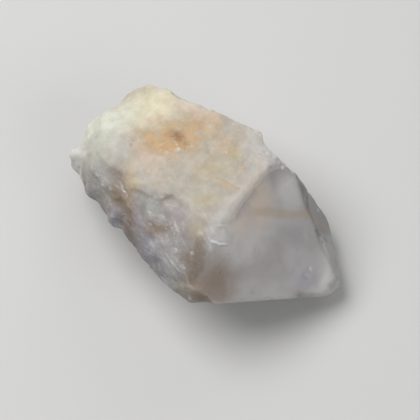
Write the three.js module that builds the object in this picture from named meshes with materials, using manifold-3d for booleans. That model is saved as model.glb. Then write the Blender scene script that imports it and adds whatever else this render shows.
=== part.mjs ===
// Candle quartz: one milky quartz point, broken from its cluster and lying on a prism face.
// Millimetres. +X runs along the crystal's long axis towards its tip, +Z is up, and the
// resting face is the plane z = 0. Face angles follow quartz: prism faces every 60 degrees
// round the long axis and tip facets tilted 51.8 degrees from it. It grew uneven, so some
// faces lean by a few degrees and the right flank is upright.
import * as THREE from "three";
import { ImprovedNoise } from "three/addons/math/ImprovedNoise.js";
import { mergeVertices } from "three/addons/utils/BufferGeometryUtils.js";
import Module from "manifold-3d";

const wasm = await Module();
wasm.setup();

const vec = (x, y, z) => new THREE.Vector3(x, y, z);

// Driving dimensions, in the crystal's own axes
const CORE_TOP = 30; // height of the top prism face over the resting face
const TOP_EDGE_X = 12.1; // where the top prism face ends and the big tip facet begins
const TIP = vec(41.3, 2.4, 7.2); // the sharp tip, before it was chipped
const FACET_TILT = 51.8; // from the long axis to the normal of a tip facet, in degrees
const SIDE_TAPER = 10; // the left faces open out towards the tip by this angle
const CRUST_TOP = 1.2; // thickness of the crust on the top face
const CRUST_FLANK = 3.4; // room for it on the right flank, which its outline trims
const CRUST_LEDGE = 0.5; // how proud of the big tip facet its front ledge stands
const CRUST_FOOT = 13; // height at which the crust on the flank ends
const CRUST_HEIGHT = 40; // of the block that the crust is cut from
const RIM_STEP = 0.55; // width of the low step along the crust's right rim

// Blocks that cut the faces
const SPAN = 110; // edge length of a cutting block, longer than the crystal
const BLOCK_DEPTH = 60;
const JITTER = 0.55; // how far a grid point strays, as a share of its cell
const WELD = 1e-4; // corners nearer than this are one

const perlin = new ImprovedNoise();

// Fractal noise from -1 to 1 at a point given in cells of the coarsest octave
function fractal(x, y, z, octaves = 3) {
  let sum = 0;
  let total = 0;
  for (let i = 0; i < octaves; i++) {
    const f = 2 ** i;
    const weight = 1 / f;
    sum += weight * perlin.noise(x * f + 7.3 * i, y * f - 3.1 * i, z * f + 5.7 * i);
    total += weight;
  }
  return sum / total;
}

// A number from -0.5 to 0.5 that depends only on a grid point
function scatter(i, j, seed) {
  const s = Math.sin(i * 127.1 + j * 311.7 + seed * 74.7) * 43758.5453;
  return s - Math.floor(s) - 0.5;
}

// Reliefs: height in mm over a face, from its own two axes
const smooth = () => 0;

function lumps(seed, height, size) {
  return (s, t) => height * fractal(s / size, t / size, seed, 2);
}

// Shell-like fracture: broad swells with sharp ribs between them
function shells(seed, height, size) {
  return (s, t) => {
    const swell = fractal(s / size, t / size, seed, 2);
    const rib = Math.abs(fractal(s / (size * 0.6), t / (size * 0.6), seed + 4, 1));
    return height * (swell - rib);
  };
}

// Growth steps that run along the crystal, with broken edges
function steps(seed, height, size) {
  return (s, t) => {
    const across = t / size + 0.9 * fractal(s / 26, t / 12, seed, 2);
    const stair = across - Math.floor(across);
    return height * (stair - 0.5 + 0.7 * fractal(s / 7, t / 4, seed + 2, 2));
  };
}

// A closed three.js geometry as a solid
function solidOf(geometry) {
  const bare = geometry.clone().deleteAttribute("normal").deleteAttribute("uv");
  const merged = mergeVertices(bare, WELD);
  return new wasm.Manifold(
    new wasm.Mesh({
      numProp: 3,
      vertProperties: merged.attributes.position.array,
      triVerts: new Uint32Array(merged.index.array),
    }),
  );
}

// Turns +Z to a face's outward normal. Its +X stays as near the crystal's axis as it can.
function facing(normal) {
  const along = Math.abs(normal.x) > 0.9 ? vec(0, 1, 0) : vec(1, 0, 0);
  const across = new THREE.Vector3().crossVectors(normal, along).normalize();
  along.crossVectors(across, normal);
  return new THREE.Matrix4().makeBasis(along, across, normal);
}

// Normal of a crystal face, by its tilt from the long axis and its turn round it from +Z
function crystalNormal(tilt, turn) {
  const a = THREE.MathUtils.degToRad(tilt);
  const b = THREE.MathUtils.degToRad(turn);
  return vec(Math.cos(a), Math.sin(a) * Math.sin(b), Math.sin(a) * Math.cos(b));
}

// The block of space outside a face, whose near side carries the face's relief
function outside(face, seed, push = 0) {
  const { normal, through, relief = smooth, cell = 0, span = SPAN } = face;
  const n = cell ? Math.round(span / cell) : 1;
  const block = new THREE.BoxGeometry(span, span, BLOCK_DEPTH, n, n, 1);
  block.translate(0, 0, BLOCK_DEPTH / 2);
  const at = block.attributes.position;
  for (let k = 0; k < at.count; k++) {
    if (at.getZ(k) > BLOCK_DEPTH / 2) continue;
    const i = Math.round((at.getX(k) / span + 0.5) * n);
    const j = Math.round((at.getY(k) / span + 0.5) * n);
    const rim = i === 0 || j === 0 || i === n || j === n;
    const stray = rim ? 0 : cell * JITTER;
    const x = at.getX(k) + stray * scatter(i, j, seed);
    const y = at.getY(k) + stray * scatter(j, i, seed + 9);
    at.setXYZ(k, x, y, push + relief(x, y));
  }
  return solidOf(block.applyMatrix4(facing(normal.clone().normalize()).setPosition(through)));
}

// The faces. Each passes through one point and looks along its normal.
const faces = {
  rest: { normal: vec(0, 0, -1), through: vec(0, 0, 0) },
  big: { normal: crystalNormal(FACET_TILT, 0), through: vec(TOP_EDGE_X, 0, CORE_TOP) },
  rightTip: { normal: crystalNormal(FACET_TILT, 60), through: TIP },
  lowRightTip: { normal: crystalNormal(FACET_TILT, 120), through: vec(41.5, 2.8, 7.2) },
  bottomTip: { normal: crystalNormal(FACET_TILT, 180), through: TIP },
  leftTip: { normal: crystalNormal(54, 240.4), through: vec(38.04, -1.98, 9.59) },
  top: {
    normal: crystalNormal(90, 0),
    through: vec(0, 0, CORE_TOP),
    relief: shells(1, 0.7, 9),
    cell: 2.3,
  },
  flank: {
    normal: crystalNormal(95, 88),
    through: vec(20, 14.5, 22),
    relief: steps(2, 0.4, 5),
    cell: 2.8,
  },
  lowRight: {
    normal: crystalNormal(96, 122),
    through: vec(10, 16, 12),
    relief: steps(3, 0.7, 5),
    cell: 3,
  },
  lowLeft: {
    normal: crystalNormal(90 + SIDE_TAPER, 238),
    through: vec(8, -26.5, 23),
    relief: steps(4, 0.7, 4.5),
    cell: 2.4,
  },
  left: {
    normal: crystalNormal(90 + SIDE_TAPER, 300),
    through: vec(5, -21.6, 29.5),
    relief: steps(5, 0.5, 3),
    cell: 2.0,
  },
  // The broken end, where the crystal grew from its cluster
  end: {
    normal: vec(-1, 0.05, 0.2),
    through: vec(-31, 0, 22),
    relief: shells(6, 2.2, 11),
    cell: 2.6,
  },
  endTop: {
    normal: vec(-0.42, 0.1, 0.9),
    through: vec(-20, 3, 31),
    relief: shells(7, 1.2, 10),
    cell: 2.2,
  },
  endShoulder: {
    normal: vec(-0.82, -0.1, 0.56),
    through: vec(-28.9, -3, 27.2),
    relief: shells(10, 0.8, 8),
    cell: 2.2,
  },
  endLeft: {
    normal: vec(-0.6, -0.72, 0.3),
    through: vec(-24.6, -16.8, 25),
    relief: shells(8, 1.3, 8),
    cell: 2.2,
  },
  endRight: {
    normal: vec(-0.62, 0.75, 0.2),
    through: vec(-26, 11, 24),
    relief: shells(9, 1.6, 9),
    cell: 2.6,
  },
};

// The space inside every face, with some of the faces pushed out
function inside(pushes = {}) {
  let space = solidOf(new THREE.BoxGeometry(SPAN, SPAN, SPAN));
  Object.entries(faces).forEach(([name, face], k) => {
    space = space.subtract(outside(face, k + 1, pushes[name] ?? 0));
  });
  return space;
}

// Outline of the crust seen from above. It runs from the right end of the ledge along the
// ledge, round by the left and the broken end, and back along the flank.
const CRUST_OUTLINE = [
  [14.4, 14.0],
  [12.9, 11.6],
  [12.3, 9.2],
  [12.5, 6.4],
  [12.4, 3.4],
  [12.8, 0.4],
  [12.9, -2.6],
  [13.4, -5.4],
  [13.2, -7.6],
  [11.6, -9.6],
  [8.6, -10.4],
  [5.2, -10.7],
  [1.8, -9.9],
  [-1.2, -10.4],
  [-2.6, -10.2],
  [-3.4, -12.2],
  [-6.3, -13.4],
  [-9.2, -13.8],
  [-11.4, -15.6],
  [-15.4, -13.2],
  [-19.0, -13.9],
  [-24.0, -12.0],
  [-36, -11],
  [-36, 8],
  [-24.4, 9.8],
  [-20, 11.5],
  [-14.8, 12.4],
  [-9.6, 13.2],
  [-7.4, 14],
  [-4.2, 14.6],
  [0.4, 15.6],
  [4.2, 16.2],
  [5.2, 15.6],
  [6.6, 14.6],
  [9, 14.3],
];
const crustFoot = {
  normal: vec(0.12, 0, -1),
  through: vec(0, 14, CRUST_FOOT),
  relief: lumps(12, 6, 9),
  cell: 2.6,
};

function crust() {
  const outline = new THREE.Shape(CRUST_OUTLINE.map(([x, y]) => new THREE.Vector2(x, y)));
  const slab = new THREE.ExtrudeGeometry(outline, { depth: CRUST_HEIGHT, bevelEnabled: false });
  const stencil = solidOf(slab).subtract(outside(crustFoot, 31));
  return inside({ top: CRUST_TOP, flank: CRUST_FLANK, big: CRUST_LEDGE }).intersect(stencil);
}

// The low step along the right rim of the crust: a bar from one rim point to the other
const RIM_FROM = vec(-19.6, 11.5, 0);
const RIM_TO = vec(-8.8, 13.3, 0);
const RIM_FLOOR = 29.9; // height of the step

function rimStep() {
  const along = RIM_TO.clone().sub(RIM_FROM);
  const bar = new THREE.BoxGeometry(along.length(), 2 * RIM_STEP, CRUST_HEIGHT);
  bar.translate(along.length() / 2, 0, CRUST_HEIGHT / 2);
  bar.rotateZ(Math.atan2(along.y, along.x));
  return solidOf(bar.translate(RIM_FROM.x, RIM_FROM.y, RIM_FLOOR));
}

// A lump, or the space of a hollow: a rough ellipsoid
function boulder({ centre, radii, turn = [0, 0, 0], rough = 0.15, seed = 0, rows = 12 }) {
  const ball = new THREE.SphereGeometry(1, 2 * rows, rows);
  const at = ball.attributes.position;
  const p = vec(0, 0, 0);
  for (let k = 0; k < at.count; k++) {
    p.fromBufferAttribute(at, k);
    p.multiplyScalar(1 + rough * fractal(2 * p.x, 2 * p.y, 2 * p.z + seed, 2));
    at.setXYZ(k, p.x, p.y, p.z);
  }
  const angles = turn.map((a) => THREE.MathUtils.degToRad(a));
  ball.scale(...radii);
  ball.applyMatrix4(new THREE.Matrix4().makeRotationFromEuler(new THREE.Euler(...angles)));
  return solidOf(ball.translate(...centre));
}

// The worn stretch of the edge between the top face and the big tip facet
const wornEdge = {
  normal: vec(0.33, -0.06, 0.94),
  through: vec(TOP_EDGE_X, -15, CORE_TOP - 0.7),
  relief: shells(11, 0.5, 5),
  cell: 1.8,
};

// Lumps at the broken end and along the left edge
const LUMPS = [
  { centre: [-27.3, -12.9, 21.4], radii: [4.8, 3.8, 6.2], turn: [0, 12, -42], rough: 0.25, seed: 1 },
  { centre: [-11.2, -19, 24.4], radii: [4.2, 3, 4], turn: [0, 0, 10], rough: 0.4, seed: 2 },
  { centre: [-23.6, 0.6, 24.5], radii: [6.8, 9.4, 5], turn: [0, -8, 0], rough: 0.3, seed: 3 },
  { centre: [-20, 6.6, 19], radii: [9, 5, 8], turn: [0, 0, 14], rough: 0.35, seed: 4 },
];

// Hollows: the shallow bowl beside the crust, the pit in the stain and the bite in the ledge
const HOLLOWS = [
  { centre: [-1.9, -16.6, 33.3], radii: [6.6, 5.6, 4.6], rough: 0.12, seed: 5, rows: 14 },
  { centre: [-10.9, 3.2, 31.9], radii: [1.9, 1, 1.8], turn: [0, 0, 30], rough: 0.4, seed: 6 },
  { centre: [13.6, -8.4, 30.6], radii: [4.6, 4.2, 1.5], turn: [0, 38, 0], rough: 0.1, seed: 7 },
  { centre: [-2.4, -11.2, 31.6], radii: [1.6, 0.9, 1.6], seed: 8, rows: 8 },
];

// Chips off the tip and off the corner left of the big facet
const CHIPS = [
  { normal: vec(0.86, 0.25, 0.42), through: vec(37.9, 3.2, 9.6), span: 16 },
  { normal: vec(0.8, -0.5, 0.2), through: vec(38.1, -0.6, 8.6), span: 16 },
  { normal: vec(0.98, 0.1, -0.2), through: vec(39.6, 2.4, 7.4), span: 16 },
  { normal: vec(0.3, -0.95, 0.1), through: vec(17.2, -24.6, 24), span: 22 },
  { normal: vec(0.1, -0.9, 0.42), through: vec(14.6, -26.2, 25.6), span: 22 },
];
const CHIP_CELL = 1.3;

function chip(place, k) {
  return outside({ ...place, relief: shells(20 + k, 0.5, 4), cell: CHIP_CELL }, 40 + k);
}

// A second growth that stands a little proud of the right edge of the tip
const sideGrowth = { centre: [25.6, 14, 11.5], radii: [6.4, 7, 10.5], rough: 0.08, seed: 9 };
const SIDE_PUSH = { rightTip: 0.3, flank: 1.1, lowRight: 0.5 };

let body = inside();
for (const lump of LUMPS) body = body.add(boulder(lump));
body = body.subtract(outside(wornEdge, 30));
body = body.add(crust().subtract(rimStep()));
body = body.add(inside(SIDE_PUSH).intersect(boulder(sideGrowth)));
for (const hollow of HOLLOWS) body = body.subtract(boulder(hollow));
CHIPS.forEach((place, k) => {
  body = body.subtract(chip(place, k));
});

const mesh = body.getMesh();
const geometry = new THREE.BufferGeometry();
geometry.setAttribute("position", new THREE.BufferAttribute(mesh.vertProperties, 3));
geometry.setIndex(new THREE.BufferAttribute(mesh.triVerts, 1));
geometry.computeBoundingBox();
const middle = geometry.boundingBox.getCenter(new THREE.Vector3());
geometry.translate(-middle.x, -middle.y, -geometry.boundingBox.min.z);

const milkyQuartz = new THREE.MeshStandardMaterial({
  color: new THREE.Color(0.74, 0.72, 0.68),
  roughness: 0.42,
  metalness: 0,
  flatShading: true,
});
const crystal = new THREE.Mesh(geometry, milkyQuartz);
crystal.name = "quartz_crystal";

const part = new THREE.Group();
part.add(crystal);
export default part;
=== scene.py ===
# Candle quartz: one milky quartz point with a pale crust, lying on a pale floor.
# The scene is in metres, in the CAD frame. The crystal's own axes are in mm: X along the long
# axis towards the tip, Z up, with the origin where the CAD source has it.
import bpy
import math
import numpy as np
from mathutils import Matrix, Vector
from mathutils.bvhtree import BVHTree


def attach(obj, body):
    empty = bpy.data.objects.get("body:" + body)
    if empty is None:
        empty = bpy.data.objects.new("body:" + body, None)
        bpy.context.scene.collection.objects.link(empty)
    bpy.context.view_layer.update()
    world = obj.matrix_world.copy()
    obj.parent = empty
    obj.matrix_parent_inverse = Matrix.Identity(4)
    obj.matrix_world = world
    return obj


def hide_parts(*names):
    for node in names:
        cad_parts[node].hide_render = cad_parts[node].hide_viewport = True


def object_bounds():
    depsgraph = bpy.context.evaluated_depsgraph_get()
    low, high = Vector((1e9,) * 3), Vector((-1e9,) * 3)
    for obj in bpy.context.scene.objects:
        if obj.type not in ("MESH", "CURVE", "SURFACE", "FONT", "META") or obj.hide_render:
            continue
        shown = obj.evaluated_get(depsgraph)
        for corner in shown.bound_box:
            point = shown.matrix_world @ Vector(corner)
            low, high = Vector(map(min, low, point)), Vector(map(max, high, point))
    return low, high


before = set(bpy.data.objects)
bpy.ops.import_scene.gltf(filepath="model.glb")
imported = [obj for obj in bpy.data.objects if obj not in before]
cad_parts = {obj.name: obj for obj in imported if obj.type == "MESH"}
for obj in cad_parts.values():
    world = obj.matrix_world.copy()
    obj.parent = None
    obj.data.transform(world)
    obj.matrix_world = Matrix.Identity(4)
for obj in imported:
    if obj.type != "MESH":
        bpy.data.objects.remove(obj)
cad_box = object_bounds()

MM = 0.001
NODE = "quartz_crystal"

# The photograph's view, in mm and pixels
VIEW_TURN = math.radians(38)
VIEW_HEIGHT = math.radians(68)
VIEW_DISTANCE = 520.0
MM_PER_PIXEL = 0.25
IMAGE_PIXELS = 420
SENSOR = 36.0
AIM = (0.0, 0.0, 15.0)
AIM_RIGHT = 1.25  # from the aim to the picture's middle
AIM_DOWN = 3.75
CLIP_START = 0.01  # in metres

# Faces: tilt of the outward normal from the long axis, and its turn round it from +Z, in degrees
BIG_FACET = (51.8, 0)
RIGHT_FACET = (51.8, 60)
LOW_RIGHT_FACET = (51.8, 120)
BOTTOM_FACET = (51.8, 180)
LEFT_FACET = (54, 240.4)
BIG_POINT = (12.1, 0.0, 30.0)  # a point of the big facet
LEFT_POINT = (38.04, -1.98, 9.59)  # a point of the left facet
LEDGE_STEP = 0.5  # the crust's ledge stands this far proud of the big facet
GROWTH_STEP = 0.3  # and the second growth this far proud of the right facet
FACET_SLACK = 0.06  # a point this near a facet's plane lies on the facet
FACET_FACING = 0.995  # and the solid there faces this nearly along the facet's normal
RESTING_FACING = 0.99  # the resting face's points face this nearly down

# The fine mesh: its edge length, and how many rounds of smoothing each part of it gets
GRAIN = 0.37
MELTING = 6  # melts the CAD solid's coarse relief
FUSING = 26  # melts the crust's low front edge into the bare stone
WEAR = 2  # blunts the sharp edges
BLENDING = 2  # softens a yes or no into a share
MELT_BLENDING = 3
MOSTLY = 0.62  # a point with this share of flat ones round it is flat too
PALE_SPREAD = 40  # spreads the facets' paler grey into the bare stone
BULK_ROUNDS = 14  # gives the stone's bulk, which edges stand proud of
# How far a point goes towards the middle of its neighbours in one round
SMOOTH_STEP = 0.6
MELT_STEPS = (0.6, -0.62)  # in and out again, so that the stone doesn't shrink
FUSE_STEP = 0.6
WEAR_STEP = 0.5


def own_normal(face):
    tilt, turn = (math.radians(a) for a in face)
    across = math.sin(tilt)
    return np.array([math.cos(tilt), across * math.sin(turn), across * math.cos(turn)])


def vertices_of(mesh):
    points = np.empty(3 * len(mesh.vertices))
    mesh.vertices.foreach_get("co", points)
    return points.reshape(-1, 3) / MM


crystal_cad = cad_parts[NODE]
cad_points = vertices_of(crystal_cad.data)


def reach(face):
    return (cad_points @ own_normal(face)).max()


# Where the CAD frame's origin lies in the crystal's own axes, found from two of its facets
def find_origin():
    big, left = own_normal(BIG_FACET), own_normal(LEFT_FACET)
    x = (big @ BIG_POINT + LEDGE_STEP - reach(BIG_FACET)) / big[0]
    y = (left @ LEFT_POINT - reach(LEFT_FACET) - left[0] * x) / left[1]
    return np.array([x, y, 0.0])


ORIGIN = find_origin()
FIBRE_TURN = math.radians(-18)  # the fibres' direction on the left flank, from the long axis
FIBRE_FRAME = np.array([
    (math.cos(FIBRE_TURN), math.sin(FIBRE_TURN), 0),
    (-math.sin(FIBRE_TURN), math.cos(FIBRE_TURN), 0),
    (0, 0, 1),
])


# Camera

def make_camera():
    back = Vector((
        math.sin(VIEW_TURN) * math.cos(VIEW_HEIGHT),
        -math.cos(VIEW_TURN) * math.cos(VIEW_HEIGHT),
        math.sin(VIEW_HEIGHT),
    ))
    right = Vector((0, 0, 1)).cross(back).normalized()
    up = back.cross(right)
    middle = Vector(AIM) - Vector(ORIGIN) + AIM_RIGHT * right - AIM_DOWN * up
    data = bpy.data.cameras.new("camera")
    data.sensor_width = SENSOR
    data.lens = SENSOR * VIEW_DISTANCE / (MM_PER_PIXEL * IMAGE_PIXELS)
    data.clip_start = CLIP_START
    camera = bpy.data.objects.new("camera", data)
    camera.location = (middle + VIEW_DISTANCE * back) * MM
    camera.rotation_euler = back.to_track_quat("Z", "Y").to_euler()
    bpy.context.scene.collection.objects.link(camera)
    bpy.context.scene.camera = camera
    return right, up, back


VIEW_RIGHT, VIEW_UP, VIEW_BACK = make_camera()


# Noise over points in mm

# Large odd numbers that scramble a cell's place, the seed and the channel into a random number
CELL_PRIMES = (374761393, 668265263, 1440670441)
SEED_PRIME = 1274126177
CHANNEL_PRIME = 97531
STIR_PRIMES = (2246822519, 3266489917)
WORD = 0xFFFFFFFF
FRACTION = 0xFFFFFF
RIPPLE_GAIN = 1.6
ABOVE_ALL = 1e9
TINY = 1e-9


def hashed(cell, seed, channel):
    h = sum(cell[:, k] * prime for k, prime in enumerate(CELL_PRIMES))
    h = (h + seed * SEED_PRIME + channel * CHANNEL_PRIME) & WORD
    h = ((h ^ (h >> 15)) * STIR_PRIMES[0]) & WORD
    h = ((h ^ (h >> 13)) * STIR_PRIMES[1]) & WORD
    return ((h ^ (h >> 16)) & FRACTION) / FRACTION


# Smooth gradient noise, about -1 to 1
def ripple(points, size, seed):
    scaled = points / size
    low = np.floor(scaled).astype(np.int64)
    part = scaled - low
    fade = part ** 3 * (part * (part * 6 - 15) + 10)
    total = np.zeros(len(points))
    for corner in range(8):
        offset = np.array([corner & 1, corner >> 1 & 1, corner >> 2 & 1])
        cell = low + offset
        slope = np.stack([2 * hashed(cell, seed, c) - 1 for c in range(3)], 1)
        weight = np.where(offset == 1, fade, 1 - fade).prod(1)
        total += weight * (slope * (part - offset)).sum(1)
    return total * RIPPLE_GAIN


def clouds(points, size, seed, octaves=4):
    total, weight, span = 0, 1.0, 0
    for octave in range(octaves):
        total = total + weight * ripple(points, size / 2 ** octave, seed + octave)
        span += weight
        weight *= 0.5
    return total / span


def ridges(points, size, seed, octaves=3):
    total, weight, span = 0, 1.0, 0
    for octave in range(octaves):
        crest = 1 - 2 * np.abs(ripple(points, size / 2 ** octave, seed + octave))
        total = total + weight * crest
        span += weight
        weight *= 0.5
    return total / span


# Distance to the nearest and the second nearest of scattered points, in cells
def pebbles(points, size, seed):
    scaled = points / size
    low = np.floor(scaled).astype(np.int64)
    nearest = np.full(len(points), ABOVE_ALL)
    second = np.full(len(points), ABOVE_ALL)
    for dx in (-1, 0, 1):
        for dy in (-1, 0, 1):
            for dz in (-1, 0, 1):
                cell = low + np.array([dx, dy, dz])
                seat = cell + np.stack([hashed(cell, seed, c) for c in range(3)], 1)
                far = np.sqrt(((scaled - seat) ** 2).sum(1))
                second = np.minimum(second, np.maximum(nearest, far))
                nearest = np.minimum(nearest, far)
    return nearest, second


# A smooth step from 0 at low to 1 at high, and one from 1 down to 0
def ramp(value, low, high):
    t = np.clip((value - low) / (high - low), 0, 1)
    return t * t * (3 - 2 * t)


def fall(value, low, high):
    return ramp(-value, -high, -low)


# Fine mesh of the crystal

def remeshed(source):
    coarse = bpy.data.objects.new("coarse", source.data.copy())
    bpy.context.scene.collection.objects.link(coarse)
    remesh = coarse.modifiers.new("fine", "REMESH")
    remesh.mode = "VOXEL"
    remesh.voxel_size = GRAIN * MM
    graph = bpy.context.evaluated_depsgraph_get()
    mesh = bpy.data.meshes.new_from_object(coarse.evaluated_get(graph))
    bpy.data.objects.remove(coarse)
    return mesh


class Skin:
    """The fine mesh's points in the crystal's own axes, with what is known of each."""

    def __init__(self, mesh):
        self.mesh = mesh
        self.points = vertices_of(mesh) + ORIGIN
        edges = np.empty(2 * len(mesh.edges), dtype=np.int64)
        mesh.edges.foreach_get("vertices", edges)
        self.edges = edges.reshape(-1, 2)
        self.valence = np.bincount(edges, minlength=len(self.points))
        sides = np.empty(len(mesh.polygons), dtype=np.int64)
        mesh.polygons.foreach_get("loop_total", sides)
        corners = np.empty(len(mesh.loops), dtype=np.int64)
        mesh.loops.foreach_get("vertex_index", corners)
        assert (sides == 4).all()
        self.quads = corners.reshape(-1, 4)

    def around(self, values):
        total = np.zeros_like(values)
        a, b = self.edges.T
        columns = values.reshape(len(values), -1)
        sums = total.reshape(len(values), -1)
        for c in range(columns.shape[1]):
            sums[:, c] = np.bincount(a, columns[b, c], len(values))
            sums[:, c] += np.bincount(b, columns[a, c], len(values))
        return (sums / self.valence[:, None]).reshape(values.shape)

    def smoothed(self, values, rounds):
        for _ in range(rounds):
            values = values + SMOOTH_STEP * (self.around(values) - values)
        return values

    def relax(self, share):
        self.points += share[:, None] * (self.around(self.points) - self.points)

    def normals(self):
        p = self.points[self.quads]
        face = np.cross(p[:, 2] - p[:, 0], p[:, 3] - p[:, 1])
        normal = np.zeros_like(self.points)
        for k in range(4):
            for c in range(3):
                normal[:, c] += np.bincount(self.quads[:, k], face[:, c], len(normal))
        return normal / np.maximum(np.linalg.norm(normal, axis=1), TINY)[:, None]

    def snap(self, source):
        corners = [v.co for v in source.data.vertices]
        tree = BVHTree.FromPolygons(corners, [tuple(p.vertices) for p in source.data.polygons])
        place = np.empty_like(self.points)
        facing = np.empty_like(self.points)
        for k, p in enumerate((self.points - ORIGIN) * MM):
            where, normal, _, _ = tree.find_nearest(Vector(p))
            place[k], facing[k] = where, normal
        self.points = place / MM + ORIGIN
        self.facing = facing


def on_facet(skin, face, through):
    normal = own_normal(face)
    off = np.abs(skin.points @ normal - through)
    return (off < FACET_SLACK) & (skin.facing @ normal > FACET_FACING)


# Outline of the crust's cream colour seen from above. It stops short of the bevelled right corner.
CRUST_EDGE = [
    (5.6, 20), (6.6, 14.6), (8.6, 12.8), (11.4, 11.4), (13.6, 9), (14, 2), (14.6, -6), (12.6, -9.6),
    (9.4, -11.6), (5.2, -12), (-2.2, -10.4), (-3.4, -12.2), (-9.2, -13.8), (-11.4, -15.6), (-15.4, -13.2),
    (-20, -13.4), (-24, -16), (-40, -22), (-40, 20),
]

# The crust's low front edge, which runs into the bare stone without a step
FUSED_EDGE = [(12, -10.4, 30), (5.2, -10.9, 30), (-0.4, -10.8, 30)]
# Its straight ledge over the big facet. The crust bends down there to a low crisp step.
LEDGE_LINE = [
    (12.6, -7.9), (12.5, -5.4), (12.1, -1.8), (12.1, 2.1), (12, 6.3), (11.9, 10), (12.6, 12), (13.4, 13.4),
]
LEDGE_LEFT = 0.18  # height of the step that is left
LEDGE_CURVE = 0.1
LEDGE_START = (-9.5, -7.5)  # along Y
LEDGE_STOP = (13, 15)
# By the distance behind the ledge: where the step rises, and where the trimming begins and ends
STEP_RISE = (-0.4, 0.1)
TRIM_START = (-1.2, -0.6)
TRIM_STOP = (3.0, 3.6)
LIP = [(-9, -14, 30), (-3.4, -12.2, 30), (-2.8, -10.4, 30)]
FUSED_LEFT = [(-10.5, -15.2, 30), (-15.4, -13.6, 30), (-21, -14.2, 30), (-26, -15, 28)]
# Edges that are fused into the stone: line, over which distance the fusing fades, and its share
FUSED = [(FUSED_EDGE, (0.8, 2.6), 1), (FUSED_LEFT, (0.8, 3), 1), (LIP, (0.6, 1.8), 0.5)]

# The ridge between the top and the low left flank, which is broken, not straight
LEFT_RIDGE = [(-24, -16.4, 29), (-12, -18.4, 29.5), (0, -20.8, 29.5), (8, -21.6, 29), (18, -24.5, 24)]

# The lip of the shell-like break where the crust meets the big facet; the material paints its brightness
# as a highlight
BREAK_LIP = [
    (11, -13.1, 29.8), (12.3, -13.1, 29.3), (13.9, -12.3, 28.6), (15, -11.1, 27.8), (15.9, -10.2, 27),
]
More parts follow.
